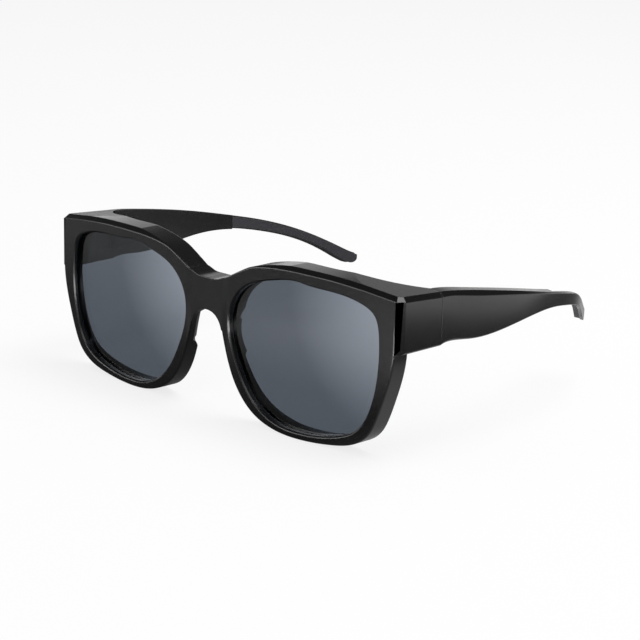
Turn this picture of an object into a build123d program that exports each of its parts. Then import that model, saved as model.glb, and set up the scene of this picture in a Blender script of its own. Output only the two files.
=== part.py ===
from build123d import *
import os
from math import radians, sqrt, tan

os.makedirs("parts", exist_ok=True)

# Sunglasses that are worn over a pair of prescription glasses.
# Millimetres. +X is the wearer's left, -Y the way the wearer looks and +Z up.
# The origin is on the middle plane, halfway from the front to the temple tips,
# at the height of the lowest point of the rims.

# Lens openings in the front
lens_spacing = 78.0
opening_width = 58.3
opening_height = 45.4
opening_bevel = 0.45

# Rims round the openings, as seen from the front
rim_nasal = 3.2
rim_temporal = 5.6
rim_bottom = 2.05
rim_top = 4.2

# Bridge between the rims
bridge_rise = 7.7
bridge_height = 10.0
bridge_depth = 7.3

# The face is a part of a sphere, with straight walls behind it that get shorter to the nose
face_radius = 640.0
rim_depth = 9.8
rear_bevel_width = 36.0
pocket_growth = 0.2
pocket_side_growth = 1.4
pocket_lip = 1.1
brow_chamfer = 1.3
rim_edge_radius = 0.5

# Lenses, each in a groove in its rim
lens_recess = 1.9
lens_thickness = 2.0
lens_seat = 0.9
seat_clearance = 0.05

# Moulded nose rests: bevels on the rear of the nasal walls, in degrees from the face
nose_bevel_start = 2.5
nose_bevel_top_start = 2.0
nose_bevel_angle = 52.0
nose_bevel_height = 9.7
nose_bevel_run = 2.5
bridge_bevel_run = 3.5
cheek_bevel_start = 4.5
cheek_bevel_width = 21.5

# Endpieces, which carry the hinges, with the tilt of their tops in degrees
endpiece_flare = 1.3
endpiece_depth = 22.7
endpiece_rise = 7.7
endpiece_height = 16.9
endpiece_roll = 6.4
endpiece_pitch = 3.6
endpiece_bottom_chamfer = 0.5
facet_run = 3.0

# Shelf behind the brow, which deepens from its start to the endpieces
shelf_start = 42.0
shelf_thickness = 3.9

# Temples
temple_length = 95.2
temple_thickness = 4.8
tip_inset = 22.4
joint_gap = 0.15
tip_shell_thickness = 1.3
tip_end_radius = 2.4
tip_top_radius = 1.2
tip_trim_margin = 0.1

# Soft grips on the inner side of the temple tips
grip_length = 42.0
grip_inset = 0.6
grip_bond = 0.05

# Hinges, with three knuckles on the front leaf and two on the temple leaf
hinge_height = 7.6
hinge_rise = 7.9
knuckle_count = 5
knuckle_radius = 1.5
knuckle_gap = 0.08
knuckle_clearance = 0.25
leaf_thickness = 0.9
leaf_recess = 0.5
leaf_relief = 1.3
leaf_corner_radius = 0.8
leaf_clearance = 0.05
seat_margin = 0.8
front_leaf_length = 6.4
temple_leaf_length = 9.5

# Hinge screws
screw_radius = 0.7
screw_clearance = 0.03
screw_head_radius = 1.25
screw_head_height = 0.6
screw_slot_width = 0.35
screw_slot_depth = 0.3
screw_end_length = 0.3

# Rivets that hold the leaves
rivet_radius = 0.55
rivet_clearance = 0.05
rivet_head_radius = 0.95
rivet_head_height = 0.35
rivet_length = 2.6
front_rivet_spacing = 3.4
temple_rivet_spacing = 4.6

# One overrun for all cuts
overrun = 1.0

# Places that follow from the sizes
opening_half_width = opening_width / 2
opening_half_height = opening_height / 2
lens_x = lens_spacing / 2
lens_z = rim_bottom + opening_half_height
overall_depth = endpiece_depth + joint_gap + temple_length
face_y = -overall_depth / 2
rear_y = face_y + rim_depth
joint_y = face_y + endpiece_depth
temple_y = joint_y + joint_gap
tip_y = temple_y + temple_length
face_half_width = lens_x + opening_half_width + rim_temporal
frame_half_width = face_half_width + endpiece_flare
inner_x = frame_half_width - temple_thickness
endpiece_z = lens_z + endpiece_rise
frame_height = lens_z + opening_half_height + rim_top
bridge_z = lens_z + bridge_rise
bridge_top_z = bridge_z + bridge_height
hinge_x = inner_x - knuckle_clearance - knuckle_radius
hinge_y = joint_y + joint_gap / 2
hinge_z = endpiece_z + hinge_rise
lens_back_depth = lens_recess + lens_thickness
face_centre = (0, face_y + face_radius, lens_z)
shelf_bottom_z = endpiece_z + endpiece_height - shelf_thickness
leaf_x = inner_x - leaf_thickness + leaf_recess
endpiece_corner_radius = endpiece_depth - rim_depth - front_leaf_length
knuckle_pitch = (hinge_height + knuckle_gap) / knuckle_count
knuckle_height = knuckle_pitch - knuckle_gap
front_rivet_y = hinge_y - (leaf_relief + front_leaf_length) / 2
temple_rivet_y = hinge_y + (leaf_relief + temple_leaf_length) / 2
front_rivet_places = [
    (front_rivet_y, hinge_z - front_rivet_spacing / 2),
    (front_rivet_y, hinge_z + front_rivet_spacing / 2),
]
temple_rivet_places = [
    (temple_rivet_y - temple_rivet_spacing / 2, hinge_z),
    (temple_rivet_y + temple_rivet_spacing / 2, hinge_z),
]
grip_plane = Plane(origin=(0, tip_y - grip_length, 0), z_dir=(0, 1, 0))

# The lens opening, as shares of its half width and half height about its centre
opening_shares = [
    (0.0, 1.0), (0.40, 0.975), (0.75, 0.91), (0.925, 0.79), (0.99, 0.52), (0.985, 0.03),
    (0.90, -0.43), (0.755, -0.73), (0.45, -0.915), (0.01, -0.995), (-0.36, -0.945),
    (-0.66, -0.715), (-0.875, -0.30), (-0.995, 0.14), (-0.975, 0.47), (-0.79, 0.77),
    (-0.42, 0.945),
]

# The lower edge of the front from the nose round to the temple side, as shares of the
# distances from the lens centre to the outer edge of the rim
rim_shares = [
    (-1.0, 0.10), (-0.94, -0.17), (-0.865, -0.42), (-0.75, -0.655), (-0.59, -0.84),
    (-0.345, -0.965), (0.02, -1.0), (0.36, -0.955), (0.61, -0.86), (0.74, -0.725),
    (0.83, -0.51), (0.905, -0.24), (0.972, 0.06),
]

# The brow from the temple side to the flank of the bridge, in the same shares
brow_shares = [
    (1.0, 0.95), (0.83, 0.955), (0.63, 0.968), (0.42, 0.988), (0.08, 1.0), (-0.27, 0.994),
    (-0.53, 0.962), (-0.66, 0.925), (-0.775, 0.865), (-0.865, 0.813), (-0.955, 0.755),
]

# How much of the brow's chamfer has faded out at each of its points from the fifth on
crest_fade_shares = [-0.3, 0.15, 0.62, 0.8, 0.9, 1.0, 1.0]

# Underside of the bridge, as shares of half its gap and of its height
arch_shares = (0.63, 0.13)

# Top of the bridge from the flank inwards, as shares of the flank's distance and the height
bridge_top_shares = [(0.92, 0.115), (0.62, 0.035)]

# Rear edge of the shelf, as shares of the way out and back to the joint
shelf_shares = [(0.21, 0.06), (0.46, 0.225), (0.64, 0.385), (0.84, 0.66)]

# Temple stations: along the length, how far the outer face has come in, the top and
# bottom edges above the endpiece's bottom, the thickness, and the top and bottom chamfers,
# as shares of the length, tip inset, root height, root thickness and endpiece chamfers
temple_station_shares = [
    (0.0, 0.0, 1.0, 0.0, 1.0, 1.0, 1.0),
    (0.125, -0.026, 0.916, 0.0, 0.88, 1.0, 0.9),
    (0.253, -0.054, 0.796, 0.02, 0.80, 0.85, 0.8),
    (0.370, -0.054, 0.675, 0.11, 0.73, 0.6, 0.7),
    (0.466, -0.012, 0.562, 0.157, 0.69, 0.4, 0.5),
    (0.552, 0.058, 0.456, 0.143, 0.68, 0.25, 0.4),
    (0.637, 0.149, 0.350, 0.07, 0.68, 0.2, 0.35),
    (0.7225, 0.290, 0.222, -0.042, 0.71, 0.2, 0.3),
    (0.797, 0.453, 0.073, -0.18, 0.74, 0.2, 0.3),
    (0.861, 0.617, -0.095, -0.357, 0.75, 0.2, 0.3),
    (0.925, 0.793, -0.305, -0.610, 0.75, 0.2, 0.3),
    (1.0, 1.0, -0.55, -0.89, 0.75, 0.2, 0.3),
]


def opening_points(grow=0.0, temporal_grow=0.0):
    """Points of the left lens opening, grown outwards by a margin."""
    points = []
    for across_share, up_share in opening_shares:
        side_grow = grow + (temporal_grow if across_share > 0 else 0.0)
        across = across_share * (opening_half_width + side_grow)
        up = up_share * (opening_half_height + grow)
        points.append((lens_x + across, lens_z + up))
    return points


def rim_point(across_share, up_share):
    """A point on the outer edge of the left half of the front."""
    reach = rim_temporal if across_share > 0 else rim_nasal
    rise = rim_top if up_share > 0.5 else rim_bottom
    across = across_share * (opening_half_width + reach)
    up = up_share * (opening_half_height + rise)
    return (lens_x + across, lens_z + up)


def front_plane(depth):
    """An upright plane, seen from the front, that many millimetres behind the face."""
    return Plane(origin=(0, face_y + depth, 0), x_dir=(1, 0, 0), z_dir=(0, -1, 0))


def lens_shell(grow, front_depth, back_depth):
    """The left lens opening, grown by a margin, between two depths behind the face."""
    with BuildPart() as shell:
        with BuildSketch(front_plane(0)):
            with BuildLine():
                Spline(*opening_points(grow), periodic=True)
            make_face()
        extrude(amount=-rim_depth)
        with Locations(face_centre):
            Sphere(face_radius - front_depth, mode=Mode.INTERSECT)
            Sphere(face_radius - back_depth, mode=Mode.SUBTRACT)
    return shell.part


def knuckle_z(index):
    """The bottom of a knuckle, counted up from the lowest."""
    return hinge_z - hinge_height / 2 + index * knuckle_pitch


def face_surface_y(x, z):
    """Where the front surface of the face lies at a point seen from the front."""
    return face_y + face_radius - sqrt(face_radius**2 - x**2 - (z - lens_z) ** 2)


brow_points = [rim_point(*shares) for shares in brow_shares]
crest_points = [
    (x, z - brow_chamfer * fade)
    for (x, z), fade in zip(brow_points[-len(crest_fade_shares) :], crest_fade_shares)
]
rim_points = [rim_point(*shares) for shares in rim_shares]
rim_points.append((face_half_width, endpiece_z))
nasal_x, nasal_z = rim_points[0]
flank_x, flank_z = brow_points[-1]
facet_y = face_surface_y(face_half_width, endpiece_z)
endpiece_top = Plane(
    origin=(face_half_width, facet_y, endpiece_z + endpiece_height),
    z_dir=(tan(radians(endpiece_roll)), tan(radians(endpiece_pitch)), 1),
)
temple_height = (
    endpiece_height
    + (face_half_width - inner_x) * tan(radians(endpiece_roll))
    - (joint_y - facet_y) * tan(radians(endpiece_pitch))
)

# The groove that holds the left lens
lens_groove = lens_shell(
    lens_seat + seat_clearance,
    lens_recess - seat_clearance,
    lens_back_depth + seat_clearance,
)

# The space behind the rear of the left half, in levels from the cheek up past the nose rest.
# A level is how far out its bevel starts, how deep it starts, and where it meets the rear.
nasal_lean = (rim_points[1][0] - nasal_x) / (nasal_z - rim_points[1][1])
nose_bevel_top_z = nasal_z + rim_nasal
nose_bevel_low_z = nose_bevel_top_z - nose_bevel_height
nose_bevel_bottom_z = nose_bevel_low_z - nose_bevel_run
rear_slope = (rim_depth - bridge_depth) / rear_bevel_width
cheek_level = (nasal_x, cheek_bevel_start, nasal_x + cheek_bevel_width)
bridge_level = (nasal_x, bridge_depth + nasal_x * rear_slope, nasal_x + cheek_bevel_width)


def nose_level(level_z, start_depth):
    """The level of the nose rest at a height, from the depth at which its bevel starts."""
    start_x = nasal_x + (nasal_z - level_z) * nasal_lean
    bevel_slope = tan(radians(nose_bevel_angle))
    lost_depth = bridge_depth + start_x * rear_slope - start_depth
    return (start_x, start_depth, start_x + lost_depth / (bevel_slope - rear_slope))


rear_levels = [
    (-overrun, cheek_level),
    (nose_bevel_bottom_z, cheek_level),
    (nose_bevel_low_z, nose_level(nose_bevel_low_z, nose_bevel_start)),
    (nose_bevel_top_z, nose_level(nose_bevel_top_z, nose_bevel_top_start)),
    (nose_bevel_top_z + bridge_bevel_run, bridge_level),
    (frame_height + overrun, bridge_level),
]
with BuildPart() as rear_space:
    for level_z, (start_x, start_depth, end_x) in rear_levels:
        with BuildSketch(Plane.XY.offset(level_z)):
            with BuildLine():
                Polyline(
                    (-rear_bevel_width, face_y + start_depth),
                    (start_x, face_y + start_depth),
                    (end_x, face_y + bridge_depth + end_x * rear_slope),
                    (rear_bevel_width, rear_y),
                    (rear_bevel_width, rear_y + overrun),
                    (-rear_bevel_width, rear_y + overrun),
                    close=True,
                )
            make_face()
    loft(ruled=True)

# The shelf behind the brow of the left half, under the line of the brow
with BuildPart() as shelf:
    with BuildSketch(Plane.XY.offset(shelf_bottom_z)):
        with BuildLine():
            shelf_edge = Spline(
                (shelf_start, rear_y),
                *[
                    (
                        shelf_start + out * (inner_x - shelf_start),
                        rear_y + back * (joint_y - rear_y),
                    )
                    for out, back in shelf_shares
                ],
                (inner_x, joint_y),
            )
            Polyline(
                shelf_edge @ 1,
                (face_half_width, joint_y),
                (face_half_width, rear_y - overrun),
                (shelf_start, rear_y - overrun),
                shelf_edge @ 0,
            )
        make_face()
    extrude(amount=frame_height - shelf_bottom_z)
    with BuildSketch(front_plane(0)):
        with BuildLine():
            shelf_brow = Spline(*brow_points)
            Polyline(
                shelf_brow @ 1,
                (flank_x, lens_z),
                (face_half_width, lens_z),
                shelf_brow @ 0,
            )
        make_face()
    extrude(amount=-endpiece_depth, mode=Mode.INTERSECT)

# The left endpiece, seen from above
with BuildPart() as endpiece:
    with BuildSketch(Plane.XY.offset(endpiece_z)):
        with BuildLine():
            facet = Line(
                (face_half_width, facet_y),
                (frame_half_width, facet_y + facet_run),
            )
            outer_side = Line(facet @ 1, (frame_half_width, joint_y))
            joint_face = Line(outer_side @ 1, (inner_x, joint_y))
            inner_side = Line(joint_face @ 1, (inner_x, rear_y + endpiece_corner_radius))
            corner = RadiusArc(
                inner_side @ 1,
                (inner_x - endpiece_corner_radius, rear_y),
                endpiece_corner_radius,
            )
            Line(corner @ 1, facet @ 0)
        make_face()
    extrude(amount=frame_height - endpiece_z)
    bottom_edge = endpiece.edges().filter_by(Axis.Y).group_by(Axis.Z)[0].sort_by(Axis.X)[-1]
    chamfer(bottom_edge, endpiece_bottom_chamfer)
    with Locations(face_centre):
        Sphere(face_radius, mode=Mode.INTERSECT)

with BuildPart() as front_frame:
    # The left rim, with straight walls behind its face and a soft front edge below
    with BuildSketch(front_plane(-overrun)):
        with BuildLine():
            lower_edge = Spline(*rim_points)
            Line(lower_edge @ 1, brow_points[0])
            brow_edge = Spline(*brow_points)
            Line(brow_edge @ 1, lower_edge @ 0)
        make_face()
    extrude(amount=-(rim_depth + overrun))
    with Locations(face_centre):
        Sphere(face_radius, mode=Mode.INTERSECT)
    lower_front_edge = (
        front_frame.edges()
        .filter_by(GeomType.BSPLINE)
        .filter_by(lambda edge: edge.center().Z < lens_z)
        .sort_by(Axis.Y)[0]
    )
    fillet(lower_front_edge, rim_edge_radius)
    add(endpiece.part)
    add(shelf.part)
    split(bisect_by=endpiece_top, keep=Keep.BOTTOM)
    # One chamfer runs along the brow, round the corner facet and back to the joint
    face_edges = front_frame.faces().filter_by(GeomType.SPHERE)[0].edges()
    side_edges = front_frame.edges().filter_by(lambda edge: edge.center().X > face_half_width)
    top_edges = (face_edges + side_edges).filter_by(
        lambda edge: edge.bounding_box().min.Z > bridge_z + bridge_height / 2
    )
    chamfer(top_edges, brow_chamfer)
    # The left half of the bridge
    with BuildSketch(front_plane(0)):
        with BuildLine():
            underside = Spline(
                (0, bridge_z),
                (nasal_x * arch_shares[0], bridge_z - bridge_height * arch_shares[1]),
                (nasal_x, nasal_z),
                tangents=[(1, 0), (nasal_lean, -1)],
            )
            Polyline(
                underside @ 1,
                (nasal_x + overrun, nasal_z),
                (flank_x + overrun, flank_z - brow_chamfer),
                (flank_x, flank_z - brow_chamfer),
            )
            bridge_top = Spline(
                (flank_x, flank_z - brow_chamfer),
                *[
                    (flank_x * across, bridge_top_z + bridge_height * up)
                    for across, up in bridge_top_shares
                ],
                (0, bridge_top_z),
                tangents=[(-1, -0.6), (-1, 0)],
            )
            Line(bridge_top @ 1, underside @ 0)
        make_face()
    extrude(amount=-rim_depth)
    with Locations(face_centre):
        Sphere(face_radius, mode=Mode.INTERSECT)
    # The brow comes down to the bridge as its chamfer fades out
    with BuildSketch(front_plane(-overrun)):
        with BuildLine():
            crest = Spline(*crest_points)
            Polyline(
                crest @ 1,
                (nasal_x, (crest @ 1).Y),
                (nasal_x, frame_height + overrun),
                ((crest @ 0).X, frame_height + overrun),
                crest @ 0,
            )
        make_face()
    extrude(amount=-(rim_depth + 2 * overrun), mode=Mode.SUBTRACT)
    # The rear of the bridge, the nose rest and the cheek side
    add(rear_space.part, mode=Mode.SUBTRACT)
    # The opening, its soft front edge, the groove and the pocket behind the lens
    with BuildSketch(front_plane(0)):
        with BuildLine():
            Spline(*opening_points(), periodic=True)
        make_face()
    extrude(amount=-(lens_back_depth + rim_depth), mode=Mode.SUBTRACT)
    opening_front_edge = front_frame.edges(Select.LAST).sort_by(Axis.Y)[0]
    chamfer(opening_front_edge, opening_bevel)
    add(lens_groove, mode=Mode.SUBTRACT)
    with BuildSketch(front_plane(lens_back_depth + pocket_lip)):
        with BuildLine():
            Spline(*opening_points(pocket_growth, pocket_side_growth), periodic=True)
        make_face()
    extrude(amount=-endpiece_depth, mode=Mode.SUBTRACT)
    # The pocket and rivet holes for the front hinge leaf
    with BuildSketch(Plane.YZ.offset(inner_x)):
        with Locations((joint_y, hinge_z)):
            Rectangle(
                front_leaf_length + leaf_clearance - joint_gap / 2,
                hinge_height + 2 * leaf_clearance,
                align=(Align.MAX, Align.CENTER),
            )
    extrude(amount=leaf_recess + leaf_clearance, mode=Mode.SUBTRACT)
    with BuildSketch(Plane.YZ.offset(inner_x)):
        with Locations(*front_rivet_places):
            Circle(rivet_radius + rivet_clearance)
    extrude(amount=rivet_length, mode=Mode.SUBTRACT)
    mirror(about=Plane.YZ)
front_frame.part.label = "front_frame"
export_step(front_frame.part, "parts/front_frame.step")


def leaf(length, side, first_knuckle, rivet_places):
    """A left hinge leaf that reaches to one side of its axis, -1 to the front."""
    near_edge = Align.MIN if side > 0 else Align.MAX
    with BuildPart() as piece:
        # The plate, with two rounded corners at its far end
        with BuildSketch(Plane.YZ.offset(leaf_x)) as plate:
            with Locations((hinge_y + side * leaf_relief, hinge_z)):
                Rectangle(length - leaf_relief, hinge_height, align=(near_edge, Align.CENTER))
            far_end = -1 if side > 0 else 0
            fillet(plate.vertices().group_by(Axis.X)[far_end], leaf_corner_radius)
        extrude(amount=leaf_thickness)
        # The knuckles, each with a web to the plate
        for index in range(first_knuckle, knuckle_count, 2):
            with BuildSketch(Plane.XY.offset(knuckle_z(index))):
                with Locations((hinge_x, hinge_y)):
                    Circle(knuckle_radius)
                    Rectangle(
                        leaf_x + leaf_thickness - hinge_x,
                        knuckle_radius,
                        align=(Align.MIN, near_edge),
                    )
            extrude(amount=knuckle_height)
        with BuildSketch(Plane.XY.offset(knuckle_z(0))):
            with Locations((hinge_x, hinge_y)):
                Circle(screw_radius + screw_clearance)
        extrude(amount=hinge_height, mode=Mode.SUBTRACT)
        with BuildSketch(Plane.YZ.offset(leaf_x)):
            with Locations(*rivet_places):
                Circle(rivet_radius + rivet_clearance)
        extrude(amount=leaf_thickness, mode=Mode.SUBTRACT)
    return piece.part


def rivets(places):
    """Rivets with domed heads on a left leaf, their shanks set in the plastic."""
    with BuildPart() as piece:
        with BuildSketch(Plane.YZ.offset(leaf_x)):
            with Locations(*places):
                Circle(rivet_head_radius)
        extrude(amount=-rivet_head_height)
        head_faces = piece.faces().group_by(Axis.X)[0]
        chamfer(head_faces.edges(), rivet_head_height / 2)
        with BuildSketch(Plane.YZ.offset(leaf_x)):
            with Locations(*places):
                Circle(rivet_radius)
        extrude(amount=rivet_length)
    return piece.part


with BuildPart() as left_lens:
    add(lens_shell(lens_seat, lens_recess, lens_back_depth))
left_lens.part.label = "left_lens"
export_step(left_lens.part, "parts/left_lens.step")

with BuildPart() as left_front_hinge_leaf:
    add(leaf(front_leaf_length, -1, 0, front_rivet_places))
left_front_hinge_leaf.part.label = "left_front_hinge_leaf"
export_step(left_front_hinge_leaf.part, "parts/left_front_hinge_leaf.step")

with BuildPart() as left_temple_hinge_leaf:
    add(leaf(temple_leaf_length, 1, 1, temple_rivet_places))
left_temple_hinge_leaf.part.label = "left_temple_hinge_leaf"
export_step(left_temple_hinge_leaf.part, "parts/left_temple_hinge_leaf.step")

with BuildPart() as left_front_rivets:
    add(rivets(front_rivet_places))
left_front_rivets.part.label = "left_front_rivets"
export_step(left_front_rivets.part, "parts/left_front_rivets.step")

with BuildPart() as left_temple_rivets:
    add(rivets(temple_rivet_places))
left_temple_rivets.part.label = "left_temple_rivets"
export_step(left_temple_rivets.part, "parts/left_temple_rivets.step")

with BuildPart() as left_hinge_screw:
    with BuildSketch(Plane.XY.offset(hinge_z + hinge_height / 2)):
        with Locations((hinge_x, hinge_y)):
            Circle(screw_head_radius)
    extrude(amount=screw_head_height)
    head_edge = left_hinge_screw.edges().sort_by(Axis.Z)[-1]
    chamfer(head_edge, screw_head_height / 4)
    with BuildSketch(Plane.XY.offset(hinge_z + hinge_height / 2)):
        with Locations((hinge_x, hinge_y)):
            Circle(screw_radius)
    extrude(amount=-(hinge_height + screw_end_length))
    with BuildSketch(Plane.XY.offset(hinge_z + hinge_height / 2 + screw_head_height)):
        with Locations((hinge_x, hinge_y)):
            Rectangle(2 * screw_head_radius + overrun, screw_slot_width)
    extrude(amount=-screw_slot_depth, mode=Mode.SUBTRACT)
left_hinge_screw.part.label = "left_hinge_screw"
export_step(left_hinge_screw.part, "parts/left_hinge_screw.step")


def temple_edges(shares):
    """The depth behind the face and the four edges of one left temple station."""
    along, inset, top, bottom, thickness = shares[:5]
    depth = temple_y - face_y + along * temple_length
    outer = frame_half_width - inset * tip_inset
    inner = outer - thickness * temple_thickness
    top_z = endpiece_z + top * temple_height
    bottom_z = endpiece_z + bottom * temple_height
    return depth, outer, inner, top_z, bottom_z


def blade_section(shares):
    """The whole section of the temple, with both chamfers on its outer side."""
    depth, outer, inner, top_z, bottom_z = temple_edges(shares)
    crease = shares[5] * brow_chamfer
    lower = shares[6] * endpiece_bottom_chamfer
    roll = tan(radians(endpiece_roll))
    return [
        (inner, bottom_z),
        (outer - lower, bottom_z),
        (outer, bottom_z + lower),
        (outer, top_z - (outer - inner) * roll - crease),
        (outer - crease, top_z - (outer - inner - crease) * roll),
        (inner, top_z),
    ]


def hollow_section(shares):
    """The section of the hollow that takes the grip, past the temple's edges."""
    depth, outer, inner, top_z, bottom_z = temple_edges(shares)
    floor = outer - tip_shell_thickness
    return [
        (inner - overrun, bottom_z - overrun),
        (floor, bottom_z - overrun),
        (floor, top_z + overrun),
        (inner - overrun, top_z + overrun),
    ]


def grip_section(shares):
    """The section of the grip, a little inside the edges of the temple."""
    depth, outer, inner, top_z, bottom_z = temple_edges(shares)
    floor = outer - tip_shell_thickness - grip_bond
    return [
        (inner, bottom_z + grip_inset),
        (floor, bottom_z + grip_inset),
        (floor, top_z - grip_inset),
        (inner, top_z - grip_inset),
    ]


def blade(section):
    """A left temple blade with the given section at each station."""
    with BuildPart() as piece:
        for shares in temple_station_shares:
            depth = temple_edges(shares)[0]
            with BuildSketch(front_plane(depth)):
                with BuildLine():
                    Polyline(*section(shares), close=True)
                make_face()
        loft()
    return piece.part


def tip_trim(inset):
    """What the side view of the temple keeps, with both corners of its tip rounded."""
    second_depth, _, _, second_top_z, second_bottom_z = temple_edges(temple_station_shares[-2])
    _, _, _, top_z, bottom_z = temple_edges(temple_station_shares[-1])
    second_y = face_y + second_depth
    margin = tip_trim_margin - inset
    with BuildPart() as piece:
        with BuildSketch(Plane.YZ) as outline:
            with BuildLine():
                Polyline(
                    (joint_y, 0),
                    (second_y, 0),
                    (second_y, second_bottom_z - margin),
                    (tip_y - inset, bottom_z - margin),
                    (tip_y - inset, top_z + margin),
                    (second_y, second_top_z + margin),
                    (second_y, 2 * frame_height),
                    (joint_y, 2 * frame_height),
                    close=True,
                )
            make_face()
            tip_corners = outline.vertices().group_by(Axis.X)[-1].sort_by(Axis.Y)
            fillet(tip_corners[0], tip_end_radius - inset)
            fillet(tip_corners[-1], tip_top_radius - inset)
        extrude(amount=2 * frame_half_width)
    return piece.part


# The hollow on the inner side of the left temple's end
with BuildPart() as grip_hollow:
    add(blade(hollow_section))
    split(bisect_by=grip_plane, keep=Keep.TOP)

with BuildPart() as left_temple:
    add(blade(blade_section))
    add(tip_trim(0.0), mode=Mode.INTERSECT)
    # The seat of the hinge leaf stands out to the plane of the endpiece
    with BuildSketch(Plane.YZ.offset(inner_x)):
        with Locations((temple_y, hinge_z)):
            Rectangle(
                temple_leaf_length + seat_margin,
                hinge_height + 2 * seat_margin,
                align=(Align.MIN, Align.CENTER),
            )
    extrude(amount=temple_thickness / 2)
    with BuildSketch(Plane.YZ.offset(inner_x - overrun)):
        with Locations((temple_y, hinge_z)):
            Rectangle(
                temple_leaf_length + leaf_clearance - joint_gap / 2,
                hinge_height + 2 * leaf_clearance,
                align=(Align.MIN, Align.CENTER),
            )
    extrude(amount=overrun + leaf_recess + leaf_clearance, mode=Mode.SUBTRACT)
    with BuildSketch(Plane.YZ.offset(inner_x)):
        with Locations(*temple_rivet_places):
            Circle(rivet_radius + rivet_clearance)
    extrude(amount=rivet_length, mode=Mode.SUBTRACT)
    add(grip_hollow.part, mode=Mode.SUBTRACT)
left_temple.part.label = "left_temple"
export_step(left_temple.part, "parts/left_temple.step")

with BuildPart() as left_temple_grip:
    add(blade(grip_section))
    add(tip_trim(grip_inset), mode=Mode.INTERSECT)
    split(bisect_by=grip_plane.offset(grip_bond), keep=Keep.TOP)
left_temple_grip.part.label = "left_temple_grip"
export_step(left_temple_grip.part, "parts/left_temple_grip.step")

# The right side mirrors the left
left_pieces = [
    left_lens,
    left_front_hinge_leaf,
    left_temple_hinge_leaf,
    left_front_rivets,
    left_temple_rivets,
    left_hinge_screw,
    left_temple,
    left_temple_grip,
]
for piece in left_pieces:
    with BuildPart() as right_piece:
        mirror(piece.part, about=Plane.YZ)
    right_piece.part.label = piece.part.label.replace("left", "right")
    export_step(right_piece.part, f"parts/{right_piece.part.label}.step")
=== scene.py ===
import bpy
import numpy as np
from bpy.props import FloatProperty, FloatVectorProperty, PointerProperty
from bpy.types import Operator, Panel, PropertyGroup
from mathutils import Matrix, Vector


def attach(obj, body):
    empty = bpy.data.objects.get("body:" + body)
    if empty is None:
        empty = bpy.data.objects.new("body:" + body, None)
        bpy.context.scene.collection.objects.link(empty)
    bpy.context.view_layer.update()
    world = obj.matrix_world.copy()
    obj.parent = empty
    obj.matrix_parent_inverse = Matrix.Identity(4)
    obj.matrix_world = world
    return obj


bl_info = {
    "name": "Fitover sunglasses",
    "version": (1, 0, 0),
    "blender": (4, 5, 0),
    "location": "3D View > Sidebar > Fitover",
    "description": "Finishes, studio and camera for a pair of fitover sunglasses",
    "category": "Object",
}

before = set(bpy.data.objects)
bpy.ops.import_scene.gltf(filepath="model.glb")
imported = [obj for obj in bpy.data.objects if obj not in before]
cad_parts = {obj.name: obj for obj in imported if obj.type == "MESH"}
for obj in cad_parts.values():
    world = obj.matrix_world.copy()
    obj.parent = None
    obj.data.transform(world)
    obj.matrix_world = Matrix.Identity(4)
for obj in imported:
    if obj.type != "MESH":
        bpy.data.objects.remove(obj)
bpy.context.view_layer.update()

# The pieces of the frame that share a finish
MOULDED = ("front_frame", "left_temple", "right_temple")
LENSES = ("left_lens", "right_lens")
GRIPS = ("left_temple_grip", "right_temple_grip")
HINGE_LEAVES = (
    "left_front_hinge_leaf",
    "left_temple_hinge_leaf",
    "right_front_hinge_leaf",
    "right_temple_hinge_leaf",
)
RIVETS = (
    "left_front_rivets",
    "left_temple_rivets",
    "right_front_rivets",
    "right_temple_rivets",
)
SCREWS = ("left_hinge_screw", "right_hinge_screw")

# How many points a corner inlay has upwards and across
TRIM_POINTS = (12, 5)

WHITE = (1.0, 1.0, 1.0, 1.0)


def linear(code):
    """A colour written as sRGB hex digits, as linear red, green, blue and an alpha of one."""
    shares = np.array([int(code[i : i + 2], 16) for i in (1, 3, 5)]) / 255
    red, green, blue = np.where(
        shares <= 0.04045, shares / 12.92, ((shares + 0.055) / 1.055) ** 2.4
    )
    return float(red), float(green), float(blue), 1.0


def tone(colour):
    """A colour setting with an alpha of one, as a colour socket wants it."""
    return (*colour, 1.0)


def add_node(tree, kind, inputs=None, **settings):
    """Adds a node, makes its settings and fills its inputs with plain values or links."""
    node = tree.nodes.new(kind)
    for name, value in settings.items():
        setattr(node, name, value)
    for name, value in (inputs or {}).items():
        if isinstance(value, bpy.types.NodeSocket):
            tree.links.new(value, node.inputs[name])
        else:
            node.inputs[name].default_value = value
    return node


def calculate(tree, operation, *values, **settings):
    """Adds a maths node and gives its result."""
    inputs = dict(enumerate(values))
    return add_node(tree, "ShaderNodeMath", inputs, operation=operation, **settings).outputs[0]


def remap(tree, value, source=(0.0, 1.0), target=(0.0, 1.0), smooth=False):
    """Maps the source range of a value to the target range, and holds the result within it."""
    inputs = {
        "Value": value,
        "From Min": source[0],
        "From Max": source[1],
        "To Min": target[0],
        "To Max": target[1],
    }
    curve = "SMOOTHSTEP" if smooth else "LINEAR"
    node = add_node(tree, "ShaderNodeMapRange", inputs, interpolation_type=curve)
    return node.outputs["Result"]


def noise(tree, place, width, detail, roughness=0.5):
    """Adds a noise texture whose largest features have that width, and gives its value."""
    inputs = {"Vector": place, "Scale": 1 / width, "Detail": detail, "Roughness": roughness}
    return add_node(tree, "ShaderNodeTexNoise", inputs).outputs["Fac"]


def new_material(name):
    """An empty node material, and its tree."""
    material = bpy.data.materials.new(name)
    material.use_nodes = True
    material.node_tree.nodes.clear()
    return material, material.node_tree


def finish_material(material, tree, shader):
    """Joins the shader to the material's output."""
    add_node(tree, "ShaderNodeOutputMaterial", {"Surface": shader})
    return material


def dress(names, material):
    """Puts one material on every slot of the named pieces of the frame."""
    for name in names:
        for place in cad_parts[name].material_slots:
            place.link = "OBJECT"
            place.material = material


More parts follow.
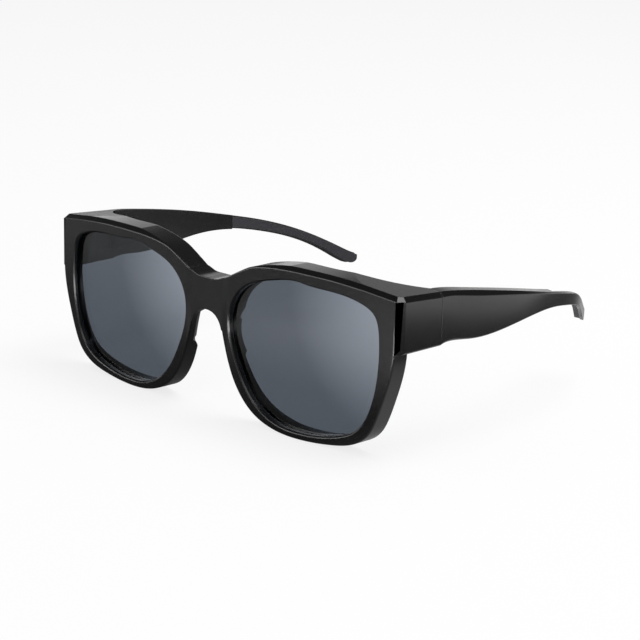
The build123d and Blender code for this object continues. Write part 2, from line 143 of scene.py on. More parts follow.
def add_piece(name, points, material, body):
    """Makes a piece from rows of points, on a body and with one material slot that holds the
    material.

    Seen from its front, a turn from the next column to the next row is anticlockwise.
    """
    rows, columns = points.shape[:2]
    row, column = np.meshgrid(np.arange(rows - 1), np.arange(columns - 1), indexing="ij")
    first = (row * columns + column).ravel()
    faces = np.stack((first, first + 1, first + columns + 1, first + columns), axis=1)
    mesh = bpy.data.meshes.new(name)
    mesh.from_pydata(points.reshape(-1, 3).tolist(), [], faces.tolist())
    mesh.materials.append(material)
    piece = bpy.data.objects.new(name, mesh)
    bpy.context.scene.collection.objects.link(piece)
    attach(piece, body)
    return piece


class PlasticSettings(PropertyGroup):
    """Injection moulded polycarbonate of the front and the temples."""

    colour: FloatVectorProperty(
        name="Colour",
        description="Body colour of the plastic",
        subtype="COLOR",
        size=3,
        default=linear("#0a0a0b")[:3],
    )
    scuff: FloatVectorProperty(
        name="Scuff",
        description="Colour where handling has dulled the gloss",
        subtype="COLOR",
        size=3,
        default=linear("#121213")[:3],
    )
    roughness: FloatVectorProperty(
        name="Roughness",
        description="Roughness of the polished surface, clean and on a hairline",
        size=2,
        default=(0.14, 0.26),
        min=0.0,
        max=1.0,
    )
    hairline_length: FloatProperty(
        name="Hairline length",
        description="Length of the hairlines from handling",
        default=1 / 260,
        unit="LENGTH",
        precision=5,
    )
    hairline_squeeze: FloatVectorProperty(
        name="Hairline squeeze",
        description="How many times narrower a hairline is than long, along each axis",
        default=(1.0, 14.0, 9.0),
    )
    hairline_turn: FloatVectorProperty(
        name="Hairline turn",
        description="Turn of the hairlines",
        default=(0.3, 0.5, 0.9),
        subtype="EULER",
    )
    hairline_range: FloatVectorProperty(
        name="Hairline range",
        description="Noise values at which a hairline starts and is full",
        size=2,
        default=(0.4, 0.8),
    )
    scuff_width: FloatProperty(
        name="Scuff width",
        description="Spacing of the patches that handling has dulled",
        default=1 / 90,
        unit="LENGTH",
        precision=5,
    )
    scuff_range: FloatVectorProperty(
        name="Scuff range",
        description="Noise values at which a dulled patch starts and is full",
        size=2,
        default=(0.45, 0.75),
    )
    scuff_share: FloatProperty(
        name="Scuff share",
        description="Share of the scuff colour in the dullest patch",
        default=0.5,
        min=0.0,
        max=1.0,
        subtype="FACTOR",
    )
    specular: FloatProperty(
        name="Gloss",
        description="Strength of the mirror-like gloss",
        default=0.5,
        min=0.0,
        max=1.0,
        subtype="FACTOR",
    )
    ripple_width: FloatProperty(
        name="Ripple width",
        description="Spacing of the ripple that the mould leaves",
        default=0.0035,
        unit="LENGTH",
    )
    ripple_height: FloatProperty(
        name="Ripple height",
        description="Height of the ripple that the mould leaves",
        default=0.0000016,
        unit="LENGTH",
        precision=6,
    )
    edge_radius: FloatProperty(
        name="Edge radius",
        description="Radius of the tumbled edges",
        default=0.0004,
        unit="LENGTH",
        precision=4,
    )
    bridge_edge: FloatVectorProperty(
        name="Bridge edge",
        description="Distances from the middle between which the face sinks to the bridge",
        size=2,
        default=(0.0066, 0.0094),
        unit="LENGTH",
        precision=4,
    )
    bridge_sink: FloatProperty(
        name="Bridge sink",
        description="How far the bridge lies behind the face",
        default=0.00035,
        unit="LENGTH",
        precision=5,
    )


class TrimSettings(PropertyGroup):
    """The black inlay in the narrow facet at each front corner."""

    colour: FloatVectorProperty(
        name="Colour",
        description="Colour of the enamel",
        subtype="COLOR",
        size=3,
        default=linear("#010101")[:3],
    )
    roughness: FloatVectorProperty(
        name="Roughness",
        description="Lowest and highest roughness of the enamel",
        size=2,
        default=(0.5, 0.7),
        min=0.0,
        max=1.0,
    )
    wipe_width: FloatProperty(
        name="Wipe width",
        description="Spacing of the mottle that wiping leaves",
        default=1 / 900,
        unit="LENGTH",
        precision=5,
    )
    facet_start: FloatVectorProperty(
        name="Facet start",
        description="Where the left facet leaves the face, seen from above",
        size=2,
        default=(0.07375, -0.054716),
        unit="LENGTH",
        precision=5,
    )
    facet_end: FloatVectorProperty(
        name="Facet end",
        description="Where the left facet meets the side, seen from above",
        size=2,
        default=(0.07505, -0.051716),
        unit="LENGTH",
        precision=5,
    )
    inner_shares: FloatVectorProperty(
        name="Inner edge",
        description="Inner edge at the bottom and the top, as shares of the facet's width",
        size=2,
        default=(0.0, 0.03),
    )
    outer_shares: FloatVectorProperty(
        name="Outer edge",
        description="Outer edge at the bottom and the top, as shares of the facet's width",
        size=2,
        default=(0.54, 0.77),
    )
    bottom: FloatProperty(
        name="Bottom",
        description="Height of the lower point",
        default=0.0326,
        unit="LENGTH",
        precision=5,
    )
    top: FloatProperty(
        name="Top",
        description="Height of the upper edge",
        default=0.04795,
        unit="LENGTH",
        precision=5,
    )
    slant: FloatProperty(
        name="Slant",
        description="Rise of the lower edge towards the side",
        default=0.0013,
        unit="LENGTH",
        precision=5,
    )
    stand: FloatProperty(
        name="Stand",
        description="How far the enamel stands out of the facet",
        default=0.00003,
        unit="LENGTH",
        precision=5,
    )
    depth: FloatProperty(
        name="Depth",
        description="Thickness of the inlay",
        default=0.0003,
        unit="LENGTH",
        precision=5,
    )


class LensSettings(PropertyGroup):
    """Grey polarised lenses."""

    tint: FloatVectorProperty(
        name="Tint",
        description="Tint of the darkest part of a lens",
        subtype="COLOR",
        size=3,
        default=linear("#525962")[:3],
    )
    # Painted light: the lens pales towards one corner, a painted reflection and brighter floor
    # behind put into the tint, at the same place on both lenses.
    painted_light_tint: FloatVectorProperty(
        name="Pale tint",
        description="Tint of the palest part of a lens",
        subtype="COLOR",
        size=3,
        default=linear("#8a919b")[:3],
    )
    spacing: FloatProperty(
        name="Spacing",
        description="Distance between the lens centres",
        default=0.078,
        unit="LENGTH",
    )
    painted_light_corner: FloatVectorProperty(
        name="Pale corner",
        description="The point that the tint of the right lens darkens away from",
        default=(-0.004, -0.056, 0.0474),
        unit="LENGTH",
    )
    painted_light_reach: FloatProperty(
        name="Pale reach",
        description="Distance from that point at which the tint starts to darken",
        default=0.009,
        unit="LENGTH",
    )
    painted_light_end_reach: FloatProperty(
        name="Dark reach",
        description="Distance from that point at which the tint is darkest",
        default=0.042,
        unit="LENGTH",
    )
    edge: FloatVectorProperty(
        name="Edge",
        description="Colour of the ground edge",
        subtype="COLOR",
        size=3,
        default=linear("#0c0d0f")[:3],
    )
    edge_roughness: FloatProperty(
        name="Edge roughness",
        description="Roughness of the ground edge",
        default=0.8,
        min=0.0,
        max=1.0,
        subtype="FACTOR",
    )
    edge_facing: FloatProperty(
        name="Edge facing",
        description="A face that points less than this share to the front or the rear is the edge",
        default=0.6,
        min=0.0,
        max=1.0,
        subtype="FACTOR",
    )
    roughness: FloatProperty(
        name="Roughness",
        description="Roughness of the polished faces",
        default=0.0,
        min=0.0,
        max=1.0,
        subtype="FACTOR",
    )
    index: FloatProperty(
        name="Index", description="Index of refraction of the lens", default=1.5, min=1.0, max=2.0
    )


class GripSettings(PropertyGroup):
    """Soft rubber on the inner side of the tips."""

    colour: FloatVectorProperty(
        name="Colour",
        description="Colour of the rubber",
        subtype="COLOR",
        size=3,
        default=linear("#35343a")[:3],
    )
    roughness: FloatProperty(
        name="Roughness",
        description="Roughness of the rubber",
        default=0.55,
        min=0.0,
        max=1.0,
        subtype="FACTOR",
    )
    grain_width: FloatProperty(
        name="Grain width",
        description="Spacing of the eroded grain",
        default=0.00035,
        unit="LENGTH",
        precision=5,
    )
    grain_height: FloatProperty(
        name="Grain height",
        description="Height of the eroded grain",
        default=0.00001,
        unit="LENGTH",
        precision=5,
    )


class SteelSettings(PropertyGroup):
    """Black-coated steel of the hinges and dark stainless steel of their screws."""

    colour: FloatVectorProperty(
        name="Colour",
        description="Colour of the coated steel",
        subtype="COLOR",
        size=3,
        default=linear("#3a3a3d")[:3],
    )
    screw_colour: FloatVectorProperty(
        name="Screw colour",
        description="Colour of the stainless screws",
        subtype="COLOR",
        size=3,
        default=linear("#87868a")[:3],
    )
    roughness: FloatVectorProperty(
        name="Roughness",
        description="Lowest and highest roughness of the steel",
        size=2,
        default=(0.18, 0.43),
        min=0.0,
        max=1.0,
    )
    brush_width: FloatProperty(
        name="Brush width",
        description="Spacing of the brushing lines",
        default=0.00008,
        unit="LENGTH",
        precision=5,
    )
    brush_stretch: FloatProperty(
        name="Brush stretch",
        description="How wide a brushing line is as a share of its length",
        default=0.06,
        min=0.0,
        max=1.0,
        subtype="FACTOR",
    )


class CameraSettings(PropertyGroup):
    """The camera, turned about a point in the middle of the glasses."""

    azimuth: FloatProperty(
        name="Azimuth",
        description="Turn round the glasses from straight ahead of them",
        default=np.radians(44.597),
        subtype="ANGLE",
    )
    elevation: FloatProperty(
        name="Elevation",
        description="Height above the horizon",
        default=np.radians(14.759),
        subtype="ANGLE",
    )
    roll: FloatProperty(
        name="Roll",
        description="Turn about the line of sight",
        default=np.radians(1.124),
        subtype="ANGLE",
    )
    distance: FloatProperty(
        name="Distance",
        description="Distance from the point that the camera looks at",
        default=0.7,
        unit="LENGTH",
    )
    focus: FloatVectorProperty(
        name="Looks at",
        description="The point that the camera looks at",
        default=(-0.00395, -0.00585, 0.01911),
        unit="LENGTH",
    )
    lens: FloatProperty(name="Lens", description="Focal length in millimetres", default=122.11)
    sensor: FloatProperty(
        name="Sensor", description="Width of the sensor in millimetres", default=36.0
    )


class StudioSettings(PropertyGroup):
    """The floor, the sky and the lamps."""

    floor_colour: FloatVectorProperty(
        name="Floor",
        description="Colour of the floor",
        subtype="COLOR",
        size=3,
        default=linear("#f4f4f4")[:3],
    )
    floor_size: FloatProperty(
        name="Floor size", description="Side of the floor", default=8.0, unit="LENGTH"
    )
    seen_white: FloatProperty(
        name="Seen white",
        description="Share of plain white in what the camera sees of the floor",
        default=0.8,
        subtype="FACTOR",
    )
    through_white: FloatProperty(
        name="White through glass",
        description="Share of plain white in what shows through the lenses",
        default=0.6,
        subtype="FACTOR",
    )
    mirrored_white: FloatProperty(
        name="Mirrored share",
        description="Share of the sheet's own brightness in what gloss sees of the floor",
        default=0.9,
        subtype="FACTOR",
    )
    # Painted shade: the shade sheet is a darker glow on the floor that only gloss sees, darkest
    # behind the glasses, standing in for the floor in their shadow.
    painted_shade_reach: FloatProperty(
        name="Sheet reach",
        description="How far the greyer sheet reaches to the wearer's left",
        default=0.197,
        unit="LENGTH",
    )
    painted_shade_edge: FloatProperty(
        name="Sheet edge",
        description="Width over which the sheet turns into the white surround",
        default=0.011,
        unit="LENGTH",
    )
    painted_shade_turn: FloatProperty(
        name="Sheet turn",
        description="Turn of the sheet's edge about the vertical",
        default=np.radians(31.0),
        subtype="ANGLE",
    )
    painted_shade_white: FloatVectorProperty(
        name="Sheet white",
        description="Mirrored brightness of the sheet behind, ahead right and ahead left",
        size=3,
        default=(0.08, 0.36, 0.8),
    )
    # Painted light: the bounce strip is glow on the floor that only gloss sees; no reflector is in
    # the scene.
    bounce_white: FloatProperty(
        name="Bounce white",
        description="Mirrored brightness of the strip that a reflector lights beside the glasses",
        default=0.6,
    )
    bounce_place: FloatProperty(
        name="Bounce place",
        description="Distance of that strip's middle from the origin, towards the sheet's edge",
        default=0.06,
        unit="LENGTH",
    )
    bounce_fade: FloatVectorProperty(
        name="Bounce fade",
        description="Distances from its middle at which the strip starts to fade and is gone",
        size=2,
        default=(0.012, 0.06),
        unit="LENGTH",
    )
    painted_shade_ahead: FloatVectorProperty(
        name="Sheet ahead",
        description="Where the sheet is as bright as it is behind, and as bright as it is ahead",
        size=2,
        default=(-0.095, -0.155),
        unit="LENGTH",
    )
    painted_shade_across: FloatVectorProperty(
        name="Sheet across",
        description="Where the sheet ahead is as bright as on the right, and as on the left",
        size=2,
        default=(-0.1, -0.04),
        unit="LENGTH",
    )
    surround_white: FloatProperty(
        name="Surround white", description="Mirrored brightness of the surround", default=1.75
    )
    # Painted light: the pool is glow on the floor that only gloss sees; no lamp casts it.
    pool_start: FloatVectorProperty(
        name="Pool start",
        description="Where the lamp's pool of light on the floor starts",
        size=2,
        default=(0.02, -0.14),
        unit="LENGTH",
    )
    pool_full: FloatVectorProperty(
        name="Pool full",
        description="Where the lamp's pool of light on the floor is full",
        size=2,
        default=(0.04, -0.16),
        unit="LENGTH",
    )
    pool_white: FloatProperty(
        name="Pool white", description="Mirrored brightness that the pool adds", default=9.0
    )
    sky: FloatProperty(
        name="Sky", description="Strength of the soft light from all round", default=0.5
    )
    horizon: FloatProperty(
        name="Horizon",
        description="Upward share of a ray at which the mirrored sky starts to darken",
        default=0.04,
    )
    horizon_white: FloatProperty(
        name="Horizon white", description="Brightness of the mirrored horizon", default=1.1
    )
    ceiling: FloatProperty(
        name="Ceiling",
        description="Upward share of a ray from which the mirrored sky is dark",
        default=0.42,
    )
    ceiling_white: FloatProperty(
        name="Ceiling white",
        description="Brightness of the mirrored ceiling",
        default=0.1,
        subtype="FACTOR",
    )
    glow: FloatProperty(
        name="Glow", description="Mirrored brightness of the long low softbox in front", default=5.0
    )
    glow_place: FloatVectorProperty(
        name="Glow place",
        description="Direction of the long low softbox",
        default=(-0.6, -0.76, 0.16),
    )
    glow_spread: FloatProperty(
        name="Glow spread",
        description="Angle over which the softbox fades out",
        default=np.radians(32.0),
        subtype="ANGLE",
    )
    key: FloatProperty(
        name="Key", description="Power of the softbox overhead in watts", default=10.0
    )
    key_place: FloatVectorProperty(
        name="Key place",
        description="Where the softbox overhead hangs",
        default=(0.35, 0.3, 1.2),
        unit="LENGTH",
    )
    key_aim: FloatVectorProperty(
        name="Key aim",
        description="The point that the softbox overhead faces",
        default=(0.0, 0.0, 0.0),
        unit="LENGTH",
    )
    key_width: FloatProperty(
        name="Key width", description="Side of the softbox overhead", default=0.8, unit="LENGTH"
    )
    fill: FloatProperty(
        name="Fill", description="Power of the softbox in front in watts", default=2.5
    )
    fill_place: FloatVectorProperty(
        name="Fill place",
        description="Where the softbox in front stands",
        default=(0.5, -1.2, 0.9),
        unit="LENGTH",
    )
    fill_aim: FloatVectorProperty(
        name="Fill aim",
        description="The point that the softbox in front faces",
        default=(0.0, 0.0, 0.02),
        unit="LENGTH",
    )
    fill_width: FloatProperty(
        name="Fill width", description="Side of the softbox in front", default=0.7, unit="LENGTH"
    )


class FitoverSettings(PropertyGroup):
    """Everything that can be set."""

    plastic: PointerProperty(type=PlasticSettings)
    trim: PointerProperty(type=TrimSettings)
    lens: PointerProperty(type=LensSettings)
    grip: PointerProperty(type=GripSettings)
    steel: PointerProperty(type=SteelSettings)
    camera: PointerProperty(type=CameraSettings)
    studio: PointerProperty(type=StudioSettings)


def gloss_polycarbonate(settings):
    """Injection moulded polycarbonate from a polished mould.

    The eye sees a near black body under a clear gloss, a faint ripple in the reflections, fine
    hairlines from handling, edges that catch a thin line of light, and a bridge that lies a little
    behind the rims.
    """
    material, tree = new_material("gloss_polycarbonate")
    place = add_node(tree, "ShaderNodeTexCoord").outputs["Object"]
    ripple = noise(tree, place, settings.ripple_width, detail=1.0, roughness=0.4)
    squeezed = add_node(
        tree,
        "ShaderNodeMapping",
        {"Vector": place, "Scale": settings.hairline_squeeze, "Rotation": settings.hairline_turn},
    )
    hairlines = noise(tree, squeezed.outputs["Vector"], settings.hairline_length, detail=3.0)
    dulled = noise(tree, place, settings.scuff_width, detail=4.0, roughness=0.6)
    worn = remap(tree, dulled, settings.scuff_range, (0.0, settings.scuff_share))
    colour = add_node(
        tree,
        "ShaderNodeMixRGB",
        {"Fac": worn, "Color1": tone(settings.colour), "Color2": tone(settings.scuff)},
    )
    roughness = remap(tree, hairlines, settings.hairline_range, settings.roughness)
    part = add_node(tree, "ShaderNodeSeparateXYZ", {"Vector": place})
    from_middle = calculate(tree, "ABSOLUTE", part.outputs["X"])
    rim_rise = remap(tree, from_middle, settings.bridge_edge, smooth=True)
    sunk_bridge = add_node(
        tree,
        "ShaderNodeBump",
        {"Height": rim_rise, "Distance": settings.bridge_sink, "Strength": 1.0},
    )
    bump = add_node(
        tree,
        "ShaderNodeBump",
        {
            "Height": ripple,
            "Distance": settings.ripple_height,
            "Strength": 1.0,
            "Normal": sunk_bridge.outputs["Normal"],
        },
    )
    rounded = add_node(
        tree,
        "ShaderNodeBevel",
        {"Radius": settings.edge_radius, "Normal": bump.outputs["Normal"]},
        samples=6,
    )
    shader = add_node(
        tree,
        "ShaderNodeBsdfPrincipled",
        {
            "Base Color": colour.outputs["Color"],
            "Roughness": roughness,
            "IOR": 1.5,
            "Specular IOR Level": settings.specular,
            "Normal": rounded.outputs["Normal"],
        },
    )
    return finish_material(material, tree, shader.outputs["BSDF"])


def polarised_lens_and_painted_light(settings):
    """A cast grey lens with polished faces and a ground edge.

    The eye sees a cool blue-grey pane with a clean reflection, and a thin near black line where its
    ground edge shows. The pane pales to one corner as painted light: a painted reflection and the
    brighter floor behind, put into the tint at the same place on both lenses.
    """
    material, tree = new_material("polarised_lens_and_painted_light")
    place = add_node(tree, "ShaderNodeTexCoord").outputs["Object"]
    part = add_node(tree, "ShaderNodeSeparateXYZ", {"Vector": place})
    left = calculate(tree, "GREATER_THAN", part.outputs["X"], 0.0)
    shift = calculate(tree, "MULTIPLY", left, settings.spacing)
    shift_point = add_node(tree, "ShaderNodeCombineXYZ", {"X": shift})
    as_right = add_node(
        tree,
        "ShaderNodeVectorMath",
        {0: place, 1: shift_point.outputs["Vector"]},
        operation="SUBTRACT",
    )
    away = add_node(
        tree,
        "ShaderNodeVectorMath",
        {0: as_right.outputs["Vector"], 1: tuple(settings.painted_light_corner)},
        operation="DISTANCE",
    )
    # Painted light: the tint pales near one corner, the same on both lenses, standing in for a
    # reflection and the lit floor behind.
    painted_light_falloff = remap(tree, away.outputs["Value"], (settings.painted_light_reach, settings.painted_light_end_reach))
    tint = add_node(
        tree,
        "ShaderNodeMixRGB",
        {"Fac": painted_light_falloff, "Color1": tone(settings.painted_light_tint), "Color2": tone(settings.tint)},
    )
    pane = add_node(
        tree,
        "ShaderNodeBsdfPrincipled",
        {
            "Base Color": tint.outputs["Color"],
            "Roughness": settings.roughness,
            "IOR": settings.index,
            "Transmission Weight": 1.0,
        },
    )
    ground = add_node(
        tree,
        "ShaderNodeBsdfPrincipled",
        {"Base Color": tone(settings.edge), "Roughness": settings.edge_roughness},
    )
    normal = add_node(tree, "ShaderNodeNewGeometry").outputs["True Normal"]
    facing = add_node(tree, "ShaderNodeSeparateXYZ", {"Vector": normal})
    forward = calculate(tree, "ABSOLUTE", facing.outputs["Y"])
    edge = calculate(tree, "LESS_THAN", forward, settings.edge_facing)
    shader = add_node(
        tree,
        "ShaderNodeMixShader",
        {0: edge, 1: pane.outputs["BSDF"], 2: ground.outputs["BSDF"]},
    )
    return finish_material(material, tree, shader.outputs["Shader"])


def black_enamel(settings):
    """Black enamel wiped into a shallow recess.

    The eye sees a dead black strip with a barely mottled surface.
    """
    material, tree = new_material("black_enamel")
    place = add_node(tree, "ShaderNodeTexCoord").outputs["Object"]
    wipe = noise(tree, place, settings.wipe_width, detail=3.0)
    roughness = remap(tree, wipe, target=settings.roughness)
    shader = add_node(
        tree,
        "ShaderNodeBsdfPrincipled",
        {
            "Base Color": tone(settings.colour),
            "Roughness": roughness,
            "IOR": 1.45,
            "Specular IOR Level": 0.0,
        },
    )
    return finish_material(material, tree, shader.outputs["BSDF"])


def corner_trim(settings, side):
    """The points of one inlay, which lies on the facet that joins the face to the side.

    A point is the facet's start plus a share of the way to its end. That share runs across from the
    inner to the outer edge, each of which leans in a straight line from bottom to top. The height
    runs in a straight line from the slanted lower edge to the level upper edge.
    """
    shares = [np.linspace(0.0, 1.0, count) for count in TRIM_POINTS]
    up, across = np.meshgrid(*shares, indexing="ij")
    inner = settings.inner_shares[0] + up * (settings.inner_shares[1] - settings.inner_shares[0])
    outer = settings.outer_shares[0] + up * (settings.outer_shares[1] - settings.outer_shares[0])
    share = inner + across * (outer - inner)
    start, end = np.array(settings.facet_start), np.array(settings.facet_end)
    run = end - start
    outwards = np.array((run[1], -run[0])) / np.linalg.norm(run)
    place = start + share[..., None] * run + settings.stand * outwards
    low = settings.bottom + across * settings.slant
    height = low + up * (settings.top - low)
    points = np.stack((side * place[..., 0], place[..., 1], height), axis=-1)
    return points if side > 0 else points[:, ::-1]


def soft_rubber(settings):
    """Moulded thermoplastic rubber with an eroded grain.

    The eye sees a dull charcoal with a hint of violet and a fine even grain.
    """
    material, tree = new_material("soft_rubber")
    place = add_node(tree, "ShaderNodeTexCoord").outputs["Object"]
    grain = noise(tree, place, settings.grain_width, detail=2.0)
    bump = add_node(
        tree,
        "ShaderNodeBump",
        {"Height": grain, "Distance": settings.grain_height, "Strength": 1.0},
    )
    shader = add_node(
        tree,
        "ShaderNodeBsdfPrincipled",
        {
            "Base Color": tone(settings.colour),
            "Roughness": settings.roughness,
            "IOR": 1.5,
            "Normal": bump.outputs["Normal"],
        },
    )
    return finish_material(material, tree, shader.outputs["BSDF"])


def brushed_steel(name, colour, settings):
    """Stamped or turned steel.

    The eye sees a dark metal with a dull sheen and fine lines along its length.
    """
    material, tree = new_material(name)
    place = add_node(tree, "ShaderNodeTexCoord").outputs["Object"]
    stretched = add_node(
        tree, "ShaderNodeMapping", {"Vector": place, "Scale": (1.0, settings.brush_stretch, 1.0)}
    )
    brushing = noise(tree, stretched.outputs["Vector"], settings.brush_width, detail=2.0)
    roughness = remap(tree, brushing, target=settings.roughness)
    shader = add_node(
        tree,
        "ShaderNodeBsdfPrincipled",
        {"Base Color": tone(colour), "Roughness": roughness, "Metallic": 1.0},
    )
    return finish_material(material, tree, shader.outputs["BSDF"])


class FITOVER_OT_plastic(Operator):
    """Gives the front and the temples their gloss plastic."""

    bl_idname = "fitover.plastic"
    bl_label = "Front and temples"

    def execute(self, context):
        dress(MOULDED, gloss_polycarbonate(context.scene.fitover.plastic))
        return {"FINISHED"}


class FITOVER_OT_trims(Operator):
    """Lays the black inlays in the corner facets of the front."""

    bl_idname = "fitover.trims"
    bl_label = "Corner trims"

    def execute(self, context):
        settings = context.scene.fitover.trim
        enamel = black_enamel(settings)
        for name, side in (("left_corner_trim", 1), ("right_corner_trim", -1)):
            piece = add_piece(name, corner_trim(settings, side), enamel, "front")
            wall = piece.modifiers.new("inlay", "SOLIDIFY")
            wall.thickness = settings.depth
            wall.offset = -1.0
        return {"FINISHED"}


class FITOVER_OT_lenses(Operator):
    """Gives the lenses their tint, with painted light that pales one corner."""

    bl_idname = "fitover.lenses"
    bl_label = "Lenses"

    def execute(self, context):
        dress(LENSES, polarised_lens_and_painted_light(context.scene.fitover.lens))
        return {"FINISHED"}


class FITOVER_OT_grips(Operator):
    """Gives the temple tips their soft rubber."""

    bl_idname = "fitover.grips"
    bl_label = "Grips"

    def execute(self, context):
        dress(GRIPS, soft_rubber(context.scene.fitover.grip))
        return {"FINISHED"}


class FITOVER_OT_hinges(Operator):
    """Gives the hinges their steel."""

    bl_idname = "fitover.hinges"
    bl_label = "Hinges"

    def execute(self, context):
        settings = context.scene.fitover.steel
        dress(HINGE_LEAVES + RIVETS, brushed_steel("blackened_steel", settings.colour, settings))
        dress(SCREWS, brushed_steel("dark_stainless_steel", settings.screw_colour, settings))
        return {"FINISHED"}


def floor_paper_and_painted_light(settings):
    """Matt white background paper.

    The eye sees it white with a soft shadow under the glasses. Gloss sees painted light and shade
    instead: painted shade that is darkest behind them, past its edge on the left a white surround,
    a painted strip of bounce light beside them, and a painted pool of light ahead on the left. No
    reflector or lamp gives these; the floor glows with them for gloss alone.
    """
    material, tree = new_material("matt_paper_and_painted_light")
    paper = add_node(tree, "ShaderNodeBsdfDiffuse", {"Color": tone(settings.floor_colour)})
    place = add_node(tree, "ShaderNodeTexCoord").outputs["Object"]
    part = add_node(tree, "ShaderNodeSeparateXYZ", {"Vector": place})
    behind_white, right_white, left_white = settings.painted_shade_white
    edge_direction = (float(np.cos(settings.painted_shade_turn)), float(np.sin(settings.painted_shade_turn)), 0.0)
    to_edge = add_node(
        tree, "ShaderNodeVectorMath", {0: place, 1: edge_direction}, operation="DOT_PRODUCT"
    )
    # Painted light: a lighter strip of bounce within the painted shade.
    from_bounce = calculate(tree, "SUBTRACT", to_edge.outputs["Value"], settings.bounce_place)
    off_bounce = calculate(tree, "ABSOLUTE", from_bounce)
    bounce = remap(
        tree, off_bounce, settings.bounce_fade, (settings.bounce_white, behind_white), smooth=True
    )
    # Painted shade seen only in reflections: darkest behind the glasses, lighter ahead, turning
    # into the bright surround.
    painted_shade_front = remap(tree, part.outputs["X"], settings.painted_shade_across, (right_white, left_white))
    painted_shade_whole = remap(
        tree,
        part.outputs["Y"],
        (settings.painted_shade_ahead[1], settings.painted_shade_ahead[0]),
        (painted_shade_front, bounce),
    )
    painted_shade_sheet = remap(
        tree,
        to_edge.outputs["Value"],
        (settings.painted_shade_reach, settings.painted_shade_reach + settings.painted_shade_edge),
        (painted_shade_whole, settings.surround_white),
        smooth=True,
    )
    # Painted pool of light, seen only in reflections.
    pool_across = remap(
        tree, part.outputs["X"], (settings.pool_start[0], settings.pool_full[0]), smooth=True
    )
    pool_ahead = remap(
        tree, part.outputs["Y"], (settings.pool_start[1], settings.pool_full[1]), smooth=True
    )
    pool = calculate(tree, "MULTIPLY", pool_across, pool_ahead)
    strength = calculate(tree, "MULTIPLY_ADD", pool, settings.pool_white, painted_shade_sheet)
    mirrored = add_node(tree, "ShaderNodeEmission", {"Color": WHITE, "Strength": strength})
    white = add_node(tree, "ShaderNodeEmission", {"Color": WHITE, "Strength": 1.0})
    path = add_node(tree, "ShaderNodeLightPath")
    seen = calculate(tree, "MULTIPLY", path.outputs["Is Camera Ray"], settings.seen_white)
    through = calculate(
        tree, "MULTIPLY_ADD", path.outputs["Is Transmission Ray"], settings.through_white, seen
    )
    only_mirrored = calculate(
        tree,
        "SUBTRACT",
        path.outputs["Is Glossy Ray"],
        path.outputs["Is Transmission Ray"],
        use_clamp=True,
    )
    gloss = calculate(tree, "MULTIPLY", only_mirrored, settings.mirrored_white)
    lit = add_node(
        tree,
        "ShaderNodeMixShader",
        {0: through, 1: paper.outputs["BSDF"], 2: white.outputs["Emission"]},
    )
    shader = add_node(
        tree,
        "ShaderNodeMixShader",
        {0: gloss, 1: lit.outputs["Shader"], 2: mirrored.outputs["Emission"]},
    )
    return finish_material(material, tree, shader.outputs["Shader"])


def studio_sky(settings):
    """Plain white all round for the camera and through glass.

    Gloss sees a white horizon under a dark ceiling, and a long low softbox ahead on the right.
    """
    world = bpy.data.worlds.new("studio_sky")
    world.use_nodes = True
    tree = world.node_tree
    tree.nodes.clear()
    path = add_node(tree, "ShaderNodeLightPath")
    seen = calculate(
        tree, "MAXIMUM", path.outputs["Is Camera Ray"], path.outputs["Is Transmission Ray"]
    )
    direction = add_node(tree, "ShaderNodeTexCoord").outputs["Generated"]
    towards = add_node(tree, "ShaderNodeSeparateXYZ", {"Vector": direction})
    fall = remap(
        tree,
        towards.outputs["Z"],
        (settings.horizon, settings.ceiling),
        (settings.horizon_white, settings.ceiling_white),
        smooth=True,
    )
    facing = add_node(
        tree,
        "ShaderNodeVectorMath",
        {0: direction, 1: tuple(Vector(settings.glow_place).normalized())},
        operation="DOT_PRODUCT",
    )
    glow = remap(
        tree,
        facing.outputs["Value"],
        (float(np.cos(settings.glow_spread)), 1.0),
        (0.0, settings.glow),
        smooth=True,
    )
    lamps = calculate(tree, "ADD", fall, glow)
    plain = remap(tree, path.outputs["Is Glossy Ray"], target=(settings.sky, lamps))
    strength = remap(tree, seen, target=(plain, 1.0))
    sky = add_node(tree, "ShaderNodeBackground", {"Color": WHITE, "Strength": strength})
    add_node(tree, "ShaderNodeOutputWorld", {"Surface": sky.outputs["Background"]})
    return world


def add_softbox(name, place, aim, width, power):
    """Hangs a square area lamp of that width at a place and turns it to its aim."""
    lamp = bpy.data.lights.new(name, "AREA")
    lamp.shape = "SQUARE"
    lamp.size = width
    lamp.energy = power
    softbox = bpy.data.objects.new(name, lamp)
    softbox.location = place
    softbox.rotation_euler = (Vector(aim) - Vector(place)).to_track_quat("-Z", "Y").to_euler()
    bpy.context.scene.collection.objects.link(softbox)


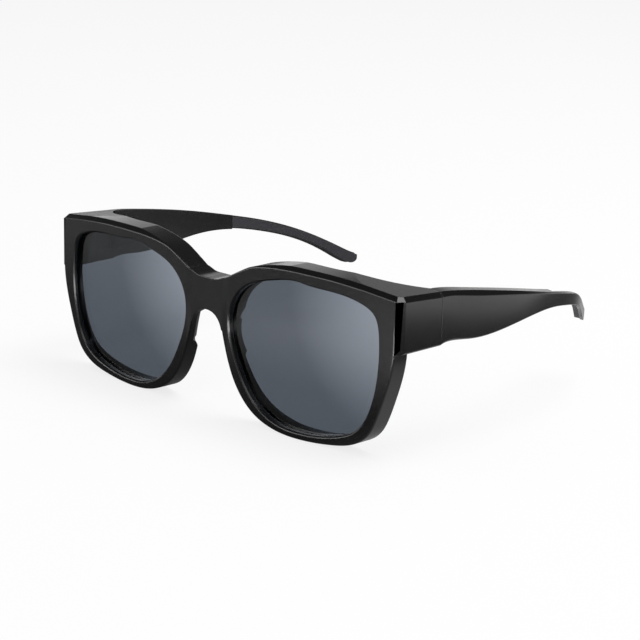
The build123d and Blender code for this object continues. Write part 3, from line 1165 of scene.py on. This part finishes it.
class FITOVER_OT_studio(Operator):
    """Lays the floor, hangs the lamps and sets up the camera."""

    bl_idname = "fitover.studio"
    bl_label = "Studio and camera"

    def execute(self, context):
        scene = context.scene
        studio = scene.fitover.studio
        reach = studio.floor_size / 2
        mesh = bpy.data.meshes.new("studio_floor")
        turns = ((-1, -1), (1, -1), (1, 1), (-1, 1))
        mesh.from_pydata([(reach * x, reach * y, 0.0) for x, y in turns], [], [(0, 1, 2, 3)])
        floor = bpy.data.objects.new("studio_floor", mesh)
        scene.collection.objects.link(floor)
        mesh.materials.append(floor_paper_and_painted_light(studio))
        scene.world = studio_sky(studio)

        add_softbox(
            "overhead_softbox", studio.key_place, studio.key_aim, studio.key_width, studio.key
        )
        add_softbox(
            "front_softbox", studio.fill_place, studio.fill_aim, studio.fill_width, studio.fill
        )

        view = scene.fitover.camera
        back = np.array(
            (
                np.sin(view.azimuth) * np.cos(view.elevation),
                -np.cos(view.azimuth) * np.cos(view.elevation),
                np.sin(view.elevation),
            )
        )
        level = np.array((np.cos(view.azimuth), np.sin(view.azimuth), 0.0))
        upright = np.cross(back, level)
        right = np.cos(view.roll) * level + np.sin(view.roll) * upright
        up = np.cos(view.roll) * upright - np.sin(view.roll) * level
        data = bpy.data.cameras.new("camera")
        data.sensor_width = view.sensor
        data.lens = view.lens
        camera = bpy.data.objects.new("camera", data)
        camera.location = np.array(view.focus) + view.distance * back
        camera.rotation_euler = Matrix(np.stack((right, up, back), axis=1).tolist()).to_euler()
        scene.collection.objects.link(camera)
        scene.camera = camera
        scene.view_settings.view_transform = "Standard"
        return {"FINISHED"}


STEPS = (
    FITOVER_OT_plastic,
    FITOVER_OT_trims,
    FITOVER_OT_lenses,
    FITOVER_OT_grips,
    FITOVER_OT_hinges,
    FITOVER_OT_studio,
)


class FITOVER_PT_panel(Panel):
    """Lists the steps in the sidebar."""

    bl_idname = "FITOVER_PT_panel"
    bl_label = "Fitover sunglasses"
    bl_space_type = "VIEW_3D"
    bl_region_type = "UI"
    bl_category = "Fitover"

    def draw(self, context):
        for step in STEPS:
            self.layout.operator(step.bl_idname)


SETTINGS = (
    PlasticSettings,
    TrimSettings,
    LensSettings,
    GripSettings,
    SteelSettings,
    CameraSettings,
    StudioSettings,
    FitoverSettings,
)


def register():
    for item in (*SETTINGS, *STEPS, FITOVER_PT_panel):
        bpy.utils.register_class(item)
    bpy.types.Scene.fitover = PointerProperty(type=FitoverSettings)


def unregister():
    del bpy.types.Scene.fitover
    for item in reversed((*SETTINGS, *STEPS, FITOVER_PT_panel)):
        bpy.utils.unregister_class(item)


def main():
    register()
    bpy.ops.fitover.plastic()
    bpy.ops.fitover.trims()
    bpy.ops.fitover.lenses()
    bpy.ops.fitover.grips()
    bpy.ops.fitover.hinges()
    bpy.ops.fitover.studio()


if __name__ == "__main__":
    main()
